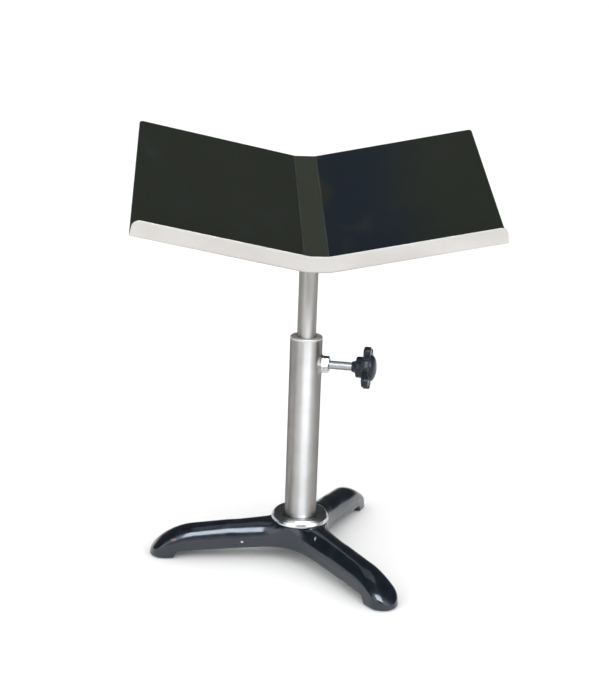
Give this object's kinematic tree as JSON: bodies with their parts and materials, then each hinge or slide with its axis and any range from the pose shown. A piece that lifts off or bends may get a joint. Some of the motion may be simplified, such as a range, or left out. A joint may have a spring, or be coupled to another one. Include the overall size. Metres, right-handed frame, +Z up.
{
  "type": "bible stand",
  "caption": "Open-book tray, folded in a shallow V with a front lip, on a telescoping post clamped by a star knob in a tube column on a cast tripod base.",
  "frame": {"origin": "on the floor plane, on the column's axis, which is also the centre of the bounding box in X and Y", "axes": "+Z up along the column, +Y from the reader's side towards the tray's raised back edge, +X to the reader's right"},
  "size_m": [0.3972, 0.3196, 0.5086],
  "materials": {
    "base_enamel": "gloss black enamel on cast iron",
    "mirror_steel": "polished bright",
    "satin_steel": "satin stainless",
    "zinc_steel": "bright zinc plated steel",
    "weld_metal": "dressed weld bead",
    "knob_plastic": "moulded gloss black",
    "tray_gloss": "gloss black sheet",
    "brass": "turned",
    "nylon": "natural nylon"
  },
  "bodies": {
    "base": {"base_casting": "base_enamel", "base_rosette": "mirror_steel", "base_bolt": "zinc_steel", "base_flat_washer": "zinc_steel", "base_spring_washer": "zinc_steel", "column_tube": "satin_steel", "column_foot_plug": "zinc_steel", "reducer_bush": "satin_steel", "clamp_nut": "mirror_steel", "clamp_weld_bead": "weld_metal"},
    "guide": {"post_guide": "nylon"},
    "mast": {"post_tube": "satin_steel", "post_end_plug": "zinc_steel", "guide_washer": "zinc_steel", "guide_screw": "zinc_steel", "post_weld_bead": "weld_metal", "tray_support_plate": "satin_steel", "tray_sheet": "satin_steel", "tray_face": "tray_gloss"},
    "pad": {"pressure_pad": "brass"},
    "knob": {"clamp_screw": "zinc_steel", "knob_insert": "brass", "knob_body": "knob_plastic"}
  },
  "joints": [
    {"name": "height_slide", "type": "slide", "parent": "base", "child": "guide", "axis": [0, 0, 1], "range_m": [-0.105, 0.038]},
    {"name": "tray_swivel", "type": "hinge", "parent": "guide", "child": "mast", "pos_m": [0, 0, 0.3], "axis": [0, 0, 1], "continuous": true},
    {"name": "clamp_travel", "type": "slide", "parent": "base", "child": "pad", "axis": [0.9659, -0.2588, 0], "range_m": [0, 0.003]},
    {"name": "clamp_turn", "type": "hinge", "parent": "pad", "child": "knob", "pos_m": [0.06761, -0.01812, 0.2419], "axis": [0.9659, -0.2588, 0], "range_deg": [0, 720]}
  ],
  "couplings": [
    {"joint": "clamp_travel", "follows": "clamp_turn", "m_per_rad": 0.00023873}
  ]
}
